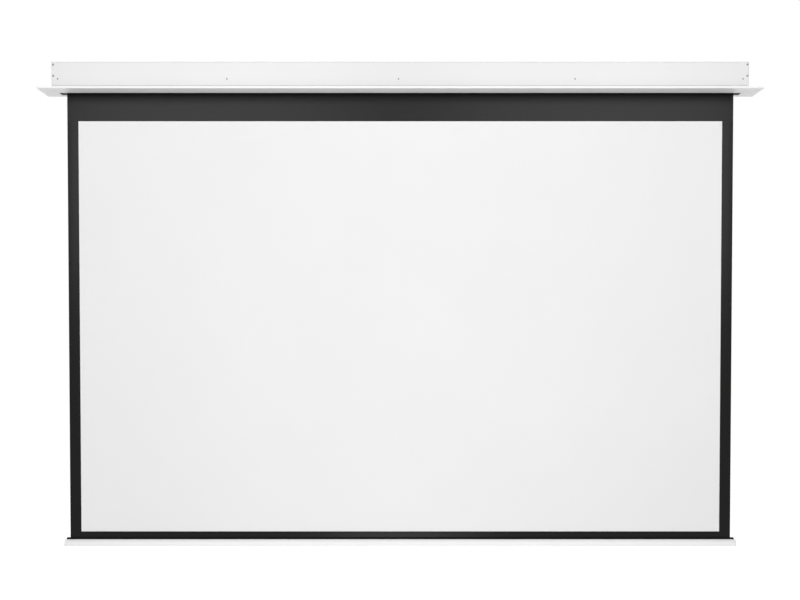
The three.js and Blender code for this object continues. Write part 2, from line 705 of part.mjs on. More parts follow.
topPanel();
hangerNuts();
for (const [side, sign] of bothWalls) {
  longWall(side, sign);
  longTrim(side, sign);
}
for (const [end, sign] of bothEnds) {
  endPlate(end, sign);
  endTrim(end, sign);
}
screws();
rollerTube();
woundFabric();
motor();
brackets();
idler();
powerInlet();
motorLead();
fabric();
bottomBar();
fabricClamp();

export default root;
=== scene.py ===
import math

import bmesh
import bpy
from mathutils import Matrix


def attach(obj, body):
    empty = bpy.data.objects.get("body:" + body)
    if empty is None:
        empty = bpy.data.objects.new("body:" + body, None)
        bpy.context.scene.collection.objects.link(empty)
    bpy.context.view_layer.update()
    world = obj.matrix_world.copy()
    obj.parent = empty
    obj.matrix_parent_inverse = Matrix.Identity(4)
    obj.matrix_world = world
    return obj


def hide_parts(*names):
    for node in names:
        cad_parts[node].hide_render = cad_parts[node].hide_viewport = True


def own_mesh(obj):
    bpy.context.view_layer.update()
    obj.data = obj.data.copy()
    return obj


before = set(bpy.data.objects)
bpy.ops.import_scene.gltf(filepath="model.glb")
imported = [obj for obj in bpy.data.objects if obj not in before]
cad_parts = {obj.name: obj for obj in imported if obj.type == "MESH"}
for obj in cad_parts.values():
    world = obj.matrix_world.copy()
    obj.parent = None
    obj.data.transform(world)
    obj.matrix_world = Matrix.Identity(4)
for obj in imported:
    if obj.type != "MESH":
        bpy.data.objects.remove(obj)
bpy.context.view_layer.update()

# Camera: a product shot from straight in front, 5.85 m before the fabric and 60 mm below the white
# field's middle. It looks 1.7 degrees down, and its lens is shifted up, so that the case stays in frame.
camera_place = (0, -5.812, -1.2293)
camera_tilt = 88.258  # degrees from straight down
bpy.ops.object.select_all(action="DESELECT")
bpy.ops.object.camera_add(location=camera_place, rotation=(math.radians(camera_tilt), 0, 0))
camera = bpy.context.object
camera.data.sensor_width = 36
camera.data.lens = 58.11
camera.data.shift_x = -0.00035
camera.data.shift_y = 0.09975
bpy.context.scene.camera = camera

# Case panels: top, front and rear, of 1.5 mm sheet steel under a white powder coat. The top has folded
# legs inside the long walls and a hole over each hanger nut; the walls have a hole for each screw.
mm = 0.001
case_half = 1540
wall_y = 73
panel_half = 1536.75
sheet = 1.5
seat = 0.25
fold_outer = wall_y - sheet - seat  # the folded legs and lips lie this far out, behind the walls
fold_inner = fold_outer - sheet
underside = -121
leg_drop = 10
leg_half = 1516.5
panel_low = -102.2
nut_places = [(x, y) for x in (-1100, 1100) for y in (-52, 52)]
row_reach = 1513
row_z = -74.7
end_screw_x = 1532
end_screw_z = {"upper": -12, "lower": -61.5}
row_shares = {"front": (-1, -0.506, -0.005, 0.51, 1), "rear": (-0.5, 0, 0.5)}
screw_hole = 2.05
hanger_hole = 4
edge_round = 0.45
drill = 12  # length of a round cutter, enough to pass through any sheet
spare = 5  # how far another cutter stands out past what it cuts


def alone(piece):
    """Selects one object and nothing else."""
    bpy.ops.object.select_all(action="DESELECT")
    piece.select_set(True)
    bpy.context.view_layer.objects.active = piece
    return piece


def settled(name):
    """Names the primitive that was just added, and moves its size and place into its mesh."""
    piece = bpy.context.object
    piece.name = name
    piece.data.name = name
    bpy.ops.object.transform_apply(location=True, rotation=True, scale=True)
    return piece


def slab(name, first, second):
    """A box between two corners, in millimetres."""
    bpy.ops.object.select_all(action="DESELECT")
    middle = [(a + b) / 2 * mm for a, b in zip(first, second)]
    size = [abs(b - a) * mm for a, b in zip(first, second)]
    bpy.ops.mesh.primitive_cube_add(size=1, location=middle, scale=size)
    return settled(name)


def bar_stock(name, axis, radius, length, middle, sides=40):
    """A round bar along x, y or z, in millimetres."""
    bpy.ops.object.select_all(action="DESELECT")
    turn = {"x": (0, math.pi / 2, 0), "y": (math.pi / 2, 0, 0), "z": (0, 0, 0)}[axis]
    bpy.ops.mesh.primitive_cylinder_add(
        vertices=sides, radius=radius * mm, depth=length * mm,
        location=[v * mm for v in middle], rotation=turn,
    )
    return settled(name)


def worked(piece, kind, **settings):
    """Adds a modifier and applies it."""
    alone(piece)
    modifier = piece.modifiers.new(kind.lower(), kind)
    for setting, value in settings.items():
        setattr(modifier, setting, value)
    bpy.ops.object.modifier_apply(modifier=modifier.name)
    return piece


def combined(piece, others, operation):
    """Joins others to a piece, or cuts them out of it."""
    for other in others:
        worked(piece, "BOOLEAN", operation=operation, object=other, solver="EXACT")
        bpy.data.objects.remove(other)
    return piece


def eased(piece, radius=edge_round, segments=3, angle=40):
    """Rounds the edges as a coating or a tool leaves them."""
    worked(
        piece, "BEVEL", width=radius * mm, segments=segments, limit_method="ANGLE",
        angle_limit=math.radians(angle), use_clamp_overlap=False,
    )
    return piece


def colour(code):
    """A linear colour from an sRGB hex value."""
    parts = [int(code[i:i + 2], 16) / 255 for i in (1, 3, 5)]
    return [p / 12.92 if p <= 0.04045 else ((p + 0.055) / 1.055) ** 2.4 for p in parts] + [1]


def add(tree, kind, feeds=None, **settings):
    """Adds one node with its settings, values and links."""
    made = tree.nodes.new("ShaderNode" + kind)
    for setting, value in settings.items():
        setattr(made, setting, value)
    for socket, source in (feeds or {}).items():
        if isinstance(source, bpy.types.NodeSocket):
            tree.links.new(source, made.inputs[socket])
        else:
            made.inputs[socket].default_value = source
    return made


def surface(name, feeds_for):
    """A material whose shader inputs come from feeds_for(tree, object coordinates, uv)."""
    made = bpy.data.materials.new(name)
    made.use_nodes = True
    tree = made.node_tree
    tree.nodes.clear()
    places = add(tree, "TexCoord").outputs
    shader = add(tree, "BsdfPrincipled", feeds_for(tree, places["Object"], places["UV"]))
    add(tree, "OutputMaterial", {"Surface": shader.outputs["BSDF"]})
    return made


def wearing(piece, material, body, slot, *nodes, sharp=36):
    """Gives a piece its shading, material and body, and hides the CAD nodes that it stands for. Its slot
    is not used.
    """
    alone(piece)
    bpy.ops.object.shade_smooth_by_angle(angle=math.radians(sharp))
    worked(piece, "WEIGHTED_NORMAL", keep_sharp=True)
    piece.data.materials.clear()
    piece.data.materials.append(material)
    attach(piece, body)
    if nodes:
        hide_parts(*nodes)
    return piece


def powder_coat(name, code, shade, peel, gloss_range):
    """Baked polyester powder: satin, with the fine ripple of orange peel and slight drifts in gloss."""
    smooth, rough = gloss_range

    def feeds(tree, place, _):
        drift = add(tree, "TexNoise", {"Vector": place, "Scale": 2.3, "Detail": 3.0})
        tone = add(tree, "Mix", {
            "Factor": drift.outputs["Fac"], "A": colour(code), "B": colour(shade),
        }, data_type="RGBA")
        gloss = add(tree, "MapRange", {"Value": drift.outputs["Fac"], "To Min": smooth, "To Max": rough})
        grain = add(tree, "TexNoise", {"Vector": place, "Scale": 1 / (peel * mm), "Detail": 1.0})
        ripple = add(tree, "Bump", {
            "Height": grain.outputs["Fac"], "Strength": 0.6, "Distance": 0.08 * mm,
        })
        return {
            "Base Color": tone.outputs["Result"], "Roughness": gloss.outputs["Result"],
            "Normal": ripple.outputs["Normal"], "IOR": 1.5,
        }
    return surface(name, feeds)


hidden_coat = powder_coat("thin_white_powder_coat_on_steel", "#E9E9E9", "#E4E4E4", 2.2, (0.62, 0.7))
white_on_steel = powder_coat("white_powder_coat_on_steel", "#E8E8E8", "#E5E5E5", 2.2, (0.26, 0.32))


def screw_places(side):
    """The holes in a long wall: name, x and z."""
    places = [(f"row_{i + 1}", share * row_reach, row_z) for i, share in enumerate(row_shares[side])]
    for end, sign in (("left", -1), ("right", 1)):
        places += [(f"{end}_{level}", sign * end_screw_x, z) for level, z in end_screw_z.items()]
    return places


def wall_cutters(side, sign):
    """Cutters for the holes in a long wall."""
    return [
        bar_stock("cutter", "y", screw_hole, drill, (x, sign * wall_y, z), sides=24)
        for _, x, z in screw_places(side)
    ]


top = slab("case_top", (-panel_half, -wall_y, -sheet), (panel_half, wall_y, 0))
legs = [
    slab("leg", (-leg_half, sign * fold_inner, -leg_drop), (leg_half, sign * fold_outer, -sheet / 2))
    for sign in (-1, 1)
]
eased(combined(top, legs, "UNION"))
holes = [bar_stock("cutter", "z", hanger_hole, drill, (x, y, 0)) for x, y in nut_places]
combined(top, holes, "DIFFERENCE")
wearing(top, hidden_coat, "case", "case_paint", "top_panel")

for side, sign in (("front", -1), ("rear", 1)):
    wall = slab(
        f"case_{side}", (-panel_half, sign * (wall_y - sheet), panel_low),
        (panel_half, sign * wall_y, -sheet - seat),
    )
    combined(eased(wall), wall_cutters(side, sign), "DIFFERENCE")
    wearing(wall, white_on_steel, "case", "case_paint", f"{side}_panel")

# End plates: 3 mm steel, with a lip folded in behind each long wall that takes the wall's end screws.
# The left one is punched for the power inlet, and both for the screws of the roller's brackets.
end_sheet = 3
lip_reach = 20
lip_low = -66.75
plate_low = -118.75
bracket_screw_y = (-27.2125, 20.7875)
bracket_screw_z = -85
inlet_y, inlet_z = -52, -28
inlet_half_y, inlet_half_z = 12, 10


def bracket_cutters(x):
    """Cutters for the holes of the two screws that hold a bracket."""
    return [
        bar_stock("cutter", "x", screw_hole, drill, (x, y, bracket_screw_z), sides=24)
        for y in bracket_screw_y
    ]


for end, sign in (("left", -1), ("right", 1)):
    plate = slab(
        f"case_end_{end}", (sign * (case_half - end_sheet), -wall_y, plate_low),
        (sign * case_half, wall_y, 0),
    )
    lips = [
        slab(
            "lip", (sign * (case_half - lip_reach), side * fold_inner, lip_low),
            (sign * (case_half - sheet), side * fold_outer, -sheet - seat),
        )
        for side in (-1, 1)
    ]
    eased(combined(plate, lips, "UNION"))
    holes = wall_cutters("front", -1) + wall_cutters("rear", 1) + bracket_cutters(sign * case_half)
    if end == "left":
        holes.append(slab(
            "cutter", (-case_half - spare, inlet_y - inlet_half_y - seat, inlet_z - inlet_half_z - seat),
            (-case_half + spare, inlet_y + inlet_half_y + seat, inlet_z + inlet_half_z + seat),
        ))
    combined(plate, holes, "DIFFERENCE")
    wearing(plate, white_on_steel, "case", "case_paint", f"end_plate_{end}")

# Ceiling trim: 2 mm aluminium plates with an upturned outer lip, mitred where they meet, under a white
# powder coat. The long ones carry a tongue that slides up behind the wall. Where the tongue shows in the
# gap under the wall its faces are drawn grey: painted shade, so that the gap reads as a dark line.
trim_half = 1600
trim_outer = {"front": -102, "rear": 98}
slot_half = 1528
slot_edge = {"front": 8.5, "rear": 67.5}
slot_middle = (slot_edge["front"] + slot_edge["rear"]) / 2
trim_sheet = 2
trim_lip = 6.5
trim_round = 0.8
fine_round = 0.3
mitre_gap = 0.12
trim_low = underside + trim_sheet + seat
foot_low = underside + trim_sheet / 2  # a foot joins each upright part to its plate
upstand_top = underside + 17.1
# the tongue is drawn grey above this height: painted shade in the gap under the wall
gap_shade_low = upstand_top - 0.5
tongue_top = underside + 54
# This white is drawn lighter than the case's coat: painted light, which lifts the trim's underside where
# it lies in shade. The bar wears it too.
lightened_white_coat = powder_coat(
    "white_powder_coat_on_aluminium_painted_lighter", "#F8F8F8", "#F6F6F6", 2.0, (0.38, 0.44)
)
# Painted shade: a grey for the tongue's faces in the gap under the wall, in place of the gap's shadow.
gap_shade_grey = powder_coat("grey_painted_gap_shade", "#ABACAD", "#A3A4A5", 1.3, (0.6, 0.68))


def drawn(name, points, first, second):
    """A section with corners in y and z, drawn out along x, in millimetres."""
    bpy.ops.object.select_all(action="DESELECT")
    bpy.ops.mesh.primitive_circle_add(vertices=len(points), radius=1, fill_type="NGON")
    piece = settled(name)
    for vertex, (y, z) in zip(piece.data.vertices, points):
        vertex.co = (first * mm, y * mm, z * mm)
    bpy.ops.object.mode_set(mode="EDIT")
    bpy.ops.mesh.select_all(action="SELECT")
    bpy.ops.mesh.extrude_region_move(TRANSFORM_OT_translate={"value": ((second - first) * mm, 0, 0)})
    bpy.ops.mesh.select_all(action="SELECT")
    bpy.ops.mesh.normals_make_consistent(inside=False)
    bpy.ops.object.mode_set(mode="OBJECT")
    return piece


def mitred(piece, corner, beyond, keep):
    """Cuts a piece along the upright plane through two corners, and keeps the side with a point."""
    along = (beyond[0] - corner[0], beyond[1] - corner[1])
    normal = (-along[1], along[0])
    length = math.hypot(*normal)
    side = (keep[0] - corner[0]) * normal[0] + (keep[1] - corner[1]) * normal[1]
    if side < 0:
        normal = (-normal[0], -normal[1])
    unit = (normal[0] / length, normal[1] / length)
    place = [(corner[i] + unit[i] * mitre_gap / 2) * mm for i in (0, 1)] + [0]
    alone(piece)
    bpy.ops.object.mode_set(mode="EDIT")
    bpy.ops.mesh.select_all(action="SELECT")
    bpy.ops.mesh.bisect(plane_co=place, plane_no=(*unit, 0), use_fill=True, clear_inner=True)
    bpy.ops.object.mode_set(mode="OBJECT")
    return piece


def tray_points(outer, inner):
    """The plate and its lip, from the slot's edge to the outer edge."""
    lip_inner = outer - (trim_sheet if outer > inner else -trim_sheet)
    return [
        (inner, underside), (outer, underside), (outer, underside + trim_lip),
        (lip_inner, underside + trim_lip), (lip_inner, underside + trim_sheet),
        (inner, underside + trim_sheet),
    ]


for side, sign in (("front", -1), ("rear", 1)):
    inner, outer = slot_edge[side], trim_outer[side]
    trim = drawn(f"trim_{side}_plate", tray_points(outer, inner), -trim_half, trim_half)
    for end in (-1, 1):
        mitred(trim, (end * slot_half, inner), (end * trim_half, outer), (0, outer))
    eased(trim, trim_round)
    section = [
        (sign * wall_y, trim_low), (sign * fold_inner, trim_low), (sign * fold_inner, tongue_top),
        (sign * fold_outer, tongue_top), (sign * fold_outer, upstand_top), (sign * wall_y, upstand_top),
    ]
    rise = eased(drawn("rise", section, -panel_half, panel_half), fine_round)
    foot = slab(
        "foot", (-slot_half, sign * fold_inner, foot_low),
        (slot_half, sign * wall_y, trim_low + trim_sheet),
    )
    combined(trim, [rise, foot], "UNION")
    combined(trim, wall_cutters(side, sign), "DIFFERENCE")
    wearing(trim, lightened_white_coat, "case", "trim_paint", f"trim_{side}")
    # The tongue's faces in the gap under the wall take the grey of painted shade.
    trim.data.materials.append(gap_shade_grey)
    for face in trim.data.polygons:
        high = face.center.z > gap_shade_low * mm
        face.material_index = int(high and abs(face.center.y) < (wall_y - sheet) * mm)

# End trims: the same sheet at the slot's ends, mitred to the long ones. Each carries an upright plate
# that stands against the case's end, where the bracket screws hold it.
side_plate = (-48.2125, 41.7875)
side_plate_top = -77

for end, sign in (("left", -1), ("right", 1)):
    first, second = trim_outer["front"], trim_outer["rear"]
    trim = slab(
        f"trim_{end}_plate", (sign * slot_half, first, underside),
        (sign * trim_half, second, underside + trim_lip),
    )
    hollow = slab(
        "cutter", (sign * (slot_half - spare), first - spare, underside + trim_sheet),
        (sign * (trim_half - trim_sheet), second + spare, underside + 2 * trim_lip),
    )
    combined(trim, [hollow], "DIFFERENCE")
    for side in ("front", "rear"):
        mitred(
            trim, (sign * slot_half, slot_edge[side]), (sign * trim_half, trim_outer[side]),
            (sign * trim_half, slot_middle),
        )
    eased(trim, trim_round)
    near, far = sign * (case_half + seat), sign * (case_half + seat + trim_sheet)
    plate = slab("plate", (near, side_plate[0], trim_low), (far, side_plate[1], side_plate_top))
    foot = slab(
        "foot", (near, slot_edge["front"], foot_low),
        (far, side_plate[1], underside + 2 * trim_sheet),
    )
    combined(trim, [eased(plate, fine_round), foot], "UNION")
    combined(trim, bracket_cutters(far), "DIFFERENCE")
    wearing(trim, lightened_white_coat, "case", "trim_paint", f"trim_{end}")

# Pan-head screws, zinc-plated steel with a cross recess: a row along each long wall, two with larger
# heads at each of its ends, and longer ones that hold the roller's brackets and the end trims.
head_radius = 3.2
corner_head_radius = 4.2
head_height = 1.7
# the first numbers here, and the next two, are shares of the head's radius
head_dome = [(1, 0), (1, 0.7), (0.93, 1.15), (0.76, 1.5), (0.5, 1.68), (0.2, head_height)]
recess_reach, recess_half = 0.55, 0.1
recess_depth = 1
shank_radius = 1.75
tip_radius = 0.4
tip_length = 1
panel_reach = 6.5
bracket_reach = 11.5


def zinc_plate(tree, place, _):
    """Blue-grey passivated zinc: a fine cloud in its tone and gloss."""
    cloud = add(tree, "TexNoise", {"Vector": place, "Scale": 420.0, "Detail": 3.0})
    tone = add(tree, "Mix", {
        "Factor": cloud.outputs["Fac"], "A": colour("#8B8D91"), "B": colour("#6E7074"),
    }, data_type="RGBA")
    gloss = add(tree, "MapRange", {"Value": cloud.outputs["Fac"], "To Min": 0.28, "To Max": 0.42})
    return {"Base Color": tone.outputs["Result"], "Metallic": 1.0, "Roughness": gloss.outputs["Result"]}


zinc = surface("zinc_plated_steel", zinc_plate)


def pan_head_screw(reach, head):
    """One screw that points along +y from its seat at y = 0: shank, domed head and recess."""
    bpy.ops.object.select_all(action="DESELECT")
    bpy.ops.mesh.primitive_circle_add(
        vertices=32, radius=tip_radius * mm, fill_type="NGON",
        rotation=(math.pi / 2, 0, 0), location=(0, reach * mm, 0),
    )
    screw = settled("screw")
    rings = [(shank_radius, reach - tip_length), (shank_radius, -seat)]
    rings += [(head * share, -seat - height) for share, height in head_dome]
    bpy.ops.object.mode_set(mode="EDIT")
    bpy.ops.mesh.select_all(action="SELECT")
    radius, y = tip_radius, reach
    for next_radius, next_y in rings:
        bpy.ops.mesh.extrude_region_move(TRANSFORM_OT_translate={"value": (0, (next_y - y) * mm, 0)})
        growth = next_radius / radius
        bpy.ops.transform.resize(value=(growth, 1, growth), center_override=(0, next_y * mm, 0))
        radius, y = next_radius, next_y
    bpy.ops.mesh.select_all(action="SELECT")
    bpy.ops.mesh.normals_make_consistent(inside=False)
    bpy.ops.object.mode_set(mode="OBJECT")
    top_y = -seat - head_height
    across, along = head * recess_reach, head * recess_half
    arms = [
        slab("arm", (-x, top_y - recess_depth, -z), (x, top_y + recess_depth, z))
        for x, z in ((across, along), (along, across))
    ]
    return combined(screw, arms, "DIFFERENCE")


def copied(pattern, name, turn, place):
    """A copy with its own mesh, turned about the origin and then moved, in millimetres."""
    alone(pattern)
    bpy.ops.object.duplicate()
    piece = bpy.context.object
    piece.rotation_euler = turn
    piece.location = [v * mm for v in place]
    return settled(name)


row_screw = pan_head_screw(panel_reach, head_radius)
corner_screw = pan_head_screw(panel_reach, corner_head_radius)
for side, sign in (("front", -1), ("rear", 1)):
    for name, x, z in screw_places(side):
        tightened = 0.6 * x  # leaves each recess at an angle of its own
        pattern = row_screw if name.startswith("row") else corner_screw
        turn = (0, tightened, 0 if sign < 0 else math.pi)
        screw = copied(pattern, f"pan_screw_{side}_{name}", turn, (x, sign * wall_y, z))
        wearing(screw, zinc, "case", "screw_zinc", f"{side}_screw_{name}")
bpy.data.objects.remove(row_screw)
bpy.data.objects.remove(corner_screw)

long_screw = pan_head_screw(bracket_reach, head_radius)
for end, sign in (("left", -1), ("right", 1)):
    for side, y in zip(("front", "rear"), bracket_screw_y):
        place = (sign * (case_half + seat + trim_sheet), y, bracket_screw_z)
        screw = copied(long_screw, f"pan_screw_bracket_{end}_{side}", (0, 0, sign * math.pi / 2), place)
        wearing(screw, zinc, "case", "screw_zinc", f"bracket_screw_{end}_{side}")
bpy.data.objects.remove(long_screw)

# Hanger nuts: M8, of bright steel with chamfered corners, welded up under the top panel. The threaded
# rods that hang the case go into them through the panel's holes.
nut_corner = 13 / math.sqrt(3)  # 13 mm across the flats
nut_height = 6.5
nut_bore = 4
nut_chamfer = 0.9
hair = 0.02  # keeps the chamfered blank's faces off the nut's own


def bright_steel(tree, place, _):
    """Cold-drawn steel: long fine scratches along x, in tone and gloss."""
    lines = add(tree, "Mapping", {"Vector": place, "Scale": (12, 2600, 2600)})
    marks = add(tree, "TexNoise", {"Vector": lines.outputs["Vector"], "Scale": 1.0, "Detail": 3.0})
    tone = add(tree, "Mix", {
        "Factor": marks.outputs["Fac"], "A": colour("#BFC1C4"), "B": colour("#9FA1A5"),
    }, data_type="RGBA")
    gloss = add(tree, "MapRange", {"Value": marks.outputs["Fac"], "To Min": 0.24, "To Max": 0.4})
    return {"Base Color": tone.outputs["Result"], "Metallic": 1.0, "Roughness": gloss.outputs["Result"]}


steel = surface("cold_drawn_steel", bright_steel)
nut_top = -sheet - seat
for i, (x, y) in enumerate(nut_places):
    middle = (x, y, nut_top - nut_height / 2)
    nut = bar_stock(f"hex_nut_{i + 1}", "z", nut_corner, nut_height, middle, sides=6)
    blank = bar_stock("blank", "z", nut_corner + hair, nut_height + hair, middle, sides=60)
    combined(nut, [eased(blank, nut_chamfer, segments=2)], "INTERSECT")
    combined(nut, [bar_stock("cutter", "z", nut_bore, drill, middle)], "DIFFERENCE")
    wearing(nut, steel, "case", "steel", f"hanger_nut_{i + 1}", sharp=25)

# Roller brackets: 4 mm galvanised plates with rounded corners, screwed inside the end plates. The
# motor's square stub sits in the left one, and the idler's bush in the right one.
bracket_x = 1532.75
bracket_plate = 4
bracket_y = (-38.2125, 31.7875)
bracket_z = (-91, -14)
bracket_corner = 6
roller_y, roller_z = -3.2125, -51
stub_hole = 7.75
bush_hole = 9.3


def zinc_bath(tree, place, _):
    """Hot-dip galvanised: crystals some 7 mm across, each with its own tone and gloss."""
    crystals = add(tree, "TexVoronoi", {"Vector": place, "Scale": 1 / (7 * mm), "Randomness": 1.0})
    pick = add(tree, "SeparateColor", {"Color": crystals.outputs["Color"]})
    tone = add(tree, "Mix", {
        "Factor": pick.outputs["Red"], "A": colour("#C3C6C9"), "B": colour("#A4A8AC"),
    }, data_type="RGBA")
    gloss = add(tree, "MapRange", {"Value": pick.outputs["Green"], "To Min": 0.32, "To Max": 0.55})
    return {"Base Color": tone.outputs["Result"], "Metallic": 1.0, "Roughness": gloss.outputs["Result"]}


galvanised = surface("hot_dip_galvanised_steel", zinc_bath)
for end, sign in (("motor", -1), ("idler", 1)):
    bracket = slab(
        f"{end}_bracket_plate", (sign * bracket_x, bracket_y[0], bracket_z[0]),
        (sign * (bracket_x + bracket_plate), bracket_y[1], bracket_z[1]),
    )
    alone(bracket)
    bpy.ops.object.mode_set(mode="EDIT")
    bpy.ops.mesh.select_all(action="DESELECT")
    inside = bmesh.from_edit_mesh(bracket.data)
    for edge in inside.edges:
        through = abs((edge.verts[0].co - edge.verts[1].co).x)
        edge.select_set(through > bracket_plate / 2 * mm)
    bmesh.update_edit_mesh(bracket.data)
    bpy.ops.mesh.bevel(offset=bracket_corner * mm, segments=6, affect="EDGES")
    bpy.ops.object.mode_set(mode="OBJECT")
    eased(bracket, fine_round, segments=2)
    x = sign * bracket_x
    if end == "motor":
        hole = slab(
            "cutter", (x - spare, roller_y - stub_hole, roller_z - stub_hole),
            (x + spare, roller_y + stub_hole, roller_z + stub_hole),
        )
    else:
        hole = bar_stock("cutter", "x", bush_hole, drill, (x, roller_y, roller_z), sides=48)
    combined(bracket, [hole] + bracket_cutters(x), "DIFFERENCE")
    wearing(bracket, galvanised, "case", "galvanised", f"{end}_bracket")

# Power inlet: a black moulded nylon socket that clips into the left end plate from outside, with three
# bright contact blades on the floor of its hollow.
inlet_face = -case_half - seat
inlet_rim = 3.5
inlet_rim_thickness = 1.2
inlet_overlap = 1  # of the body into the rim
inlet_body = 20
inlet_wall = 1.5
inlet_cavity = 13
blade_pitch = 6.5
blade_z = inlet_z - 3
blade_inset = 3
blade_root = 0.6
blade_half_y, blade_half_z = 1, 2


def moulded(code, shade, grain):
    """Moulded thermoplastic: an eroded-mould grain under a dull gloss."""
    def feeds(tree, place, _):
        pits = add(tree, "TexNoise", {"Vector": place, "Scale": 1 / (grain * mm), "Detail": 2.0})
        tone = add(tree, "Mix", {
            "Factor": pits.outputs["Fac"], "A": colour(code), "B": colour(shade),
        }, data_type="RGBA")
        gloss = add(tree, "MapRange", {"Value": pits.outputs["Fac"], "To Min": 0.42, "To Max": 0.56})
        relief = add(tree, "Bump", {
            "Height": pits.outputs["Fac"], "Strength": 0.6, "Distance": 0.06 * mm,
        })
        return {
            "Base Color": tone.outputs["Result"], "Roughness": gloss.outputs["Result"],
            "Normal": relief.outputs["Normal"], "IOR": 1.49,
        }
    return feeds


black_nylon = surface("black_moulded_nylon", moulded("#1F1F20", "#161617", 0.5))
grey_nylon = surface("grey_moulded_nylon", moulded("#7C7E81", "#727477", 0.5))


def inlet_box(name, x0, x1, wider, radius):
    """A rounded box on the inlet's axis, wider than its body by so much on each side."""
    half_y, half_z = inlet_half_y + wider, inlet_half_z + wider
    box = slab(name, (x0, inlet_y - half_y, inlet_z - half_z), (x1, inlet_y + half_y, inlet_z + half_z))
    return eased(box, radius, segments=4)


inlet = inlet_box("power_socket", inlet_face - inlet_rim_thickness, inlet_face, inlet_rim, radius=0.9)
body = inlet_box("body", inlet_face - inlet_overlap, inlet_face + inlet_body, 0, radius=0.6)
hollow = inlet_box("cutter", inlet_face - spare, inlet_face + inlet_cavity, -inlet_wall, radius=0.8)
combined(inlet, [body], "UNION")
combined(inlet, [hollow], "DIFFERENCE")
wearing(inlet, black_nylon, "case", "black_plastic", "power_inlet")
for i in (-1, 0, 1):
    y = inlet_y + i * blade_pitch
    blade = slab(
        f"power_blade_{i + 2}", (inlet_face + blade_inset, y - blade_half_y, blade_z - blade_half_z),
        (inlet_face + inlet_cavity + blade_root, y + blade_half_y, blade_z + blade_half_z),
    )
    wearing(eased(blade, radius=0.4), steel, "case", "steel")

# Motor head: black moulded nylon, flat underneath, with two turned rings and the holes of the two limit
# screws. Its square stub holds it in the left bracket, and the motor's tube hangs on it.
motor_head_x = (-1532.5, -1505.1)
motor_head_radius = 35
motor_head_flat = 30
ring_x = (-1527, -1510.6)  # two fine rings are turned into the head
ring_width, ring_depth = 1, 0.7
stub_half = stub_hole - seat
stub_root = 2
limit_x = -1518.8
limit_y = (-9, 9)
limit_hole, limit_depth = 3.5, 7.8


def arc(middle, radius, start, sweep, steps):
    """Points on an arc in y and z, with its first angle and its sweep in radians."""
    angles = [start + sweep * i / steps for i in range(steps + 1)]
    return [(middle[0] + radius * math.cos(a), middle[1] + radius * math.sin(a)) for a in angles]


flat_angle = math.asin(motor_head_flat / motor_head_radius)
rim = arc((roller_y, roller_z), motor_head_radius, -flat_angle, math.pi + 2 * flat_angle, 72)
head = eased(drawn("motor_head_housing", rim, *motor_head_x), radius=1.2, segments=4)
stub = slab(
    "stub", (-bracket_x - bracket_plate, roller_y - stub_half, roller_z - stub_half),
    (motor_head_x[0] + stub_root, roller_y + stub_half, roller_z + stub_half),
)
combined(head, [eased(stub, radius=0.4)], "UNION")
holes = []
for x in ring_x:
    middle = (x, roller_y, roller_z)
    ring = bar_stock("cutter", "x", motor_head_radius + spare, ring_width, middle, sides=96)
    core = bar_stock("core", "x", motor_head_radius - ring_depth, drill, middle, sides=96)
    holes.append(combined(ring, [core], "DIFFERENCE"))
for y in limit_y:
    middle = (limit_x, roller_y + y, roller_z - motor_head_flat)
    holes.append(bar_stock("cutter", "z", limit_hole, 2 * limit_depth, middle, sides=32))
combined(head, holes, "DIFFERENCE")
wearing(head, black_nylon, "case", "black_plastic", "motor_head")

# Pieces that keep their CAD shape and get a finish: the motor's enamelled tube, steel shaft, nylon wheel
# and crown, and brass limit screws, the idler's plug, pin and bush, and the rods in the fabric's edges.
facet_angle = 25  # the CAD's round pieces are many-sided, and flatter edges than this are shaded smooth


def enamel(tree, place, _):
    """Sprayed enamel on a drawn tube: fine texture and a soft sheen."""
    grain = add(tree, "TexNoise", {"Vector": place, "Scale": 1 / (0.8 * mm), "Detail": 2.0})
    tone = add(tree, "Mix", {
        "Factor": grain.outputs["Fac"], "A": colour("#2D2F32"), "B": colour("#25272A"),
    }, data_type="RGBA")
    relief = add(tree, "Bump", {"Height": grain.outputs["Fac"], "Strength": 0.3, "Distance": 0.02 * mm})
    return {"Base Color": tone.outputs["Result"], "Roughness": 0.42, "Normal": relief.outputs["Normal"]}


def turned_brass(tree, place, _):
    """Turned brass: a warm stain, with a gloss that varies with it."""
    stain = add(tree, "TexNoise", {"Vector": place, "Scale": 600.0, "Detail": 3.0})
    tone = add(tree, "Mix", {
        "Factor": stain.outputs["Fac"], "A": colour("#D2B36A"), "B": colour("#B08F47"),
    }, data_type="RGBA")
    gloss = add(tree, "MapRange", {"Value": stain.outputs["Fac"], "To Min": 0.22, "To Max": 0.4})
    return {"Base Color": tone.outputs["Result"], "Metallic": 1.0, "Roughness": gloss.outputs["Result"]}


motor_enamel = surface("sprayed_enamel_on_steel", enamel)
brass = surface("turned_brass", turned_brass)


def given(node, material):
    """Gives a CAD piece that keeps its shape its finish."""
    piece = bpy.data.objects[node]
    for slot in piece.material_slots:
        slot.material = material
    if not piece.material_slots:
        piece.data.materials.append(material)
    alone(piece)
    bpy.ops.object.shade_smooth_by_angle(angle=math.radians(facet_angle))


for node, material in (
    ("motor_tube", motor_enamel), ("output_shaft", steel), ("drive_wheel", grey_nylon),
    ("motor_crown", grey_nylon), ("limit_screw_up", brass), ("limit_screw_down", brass),
    ("idler_plug", grey_nylon), ("idler_pin", steel), ("idler_bush", black_nylon),
    ("fabric_keder", grey_nylon), ("hem_rod", steel),
):
    given(node, material)

# Motor lead: a short cable in a black PVC sheath. It runs from the motor's head to the back of the
# inlet, in a bend that keeps it clear of the bracket.
lead_radius = 3.2
lead_route = [
    (-1518.8, -38.5125, -51), (-1518.8, -44.9125, -51), (-1515.6, -51.3125, -49.4),
    (-1506, -55.2, -44.6), (-1496.4, -55.2, -38.2), (-1499.6, -52, -31.2),
    (-1510.35, -52, -28), (-1519.95, -52, -28),
]


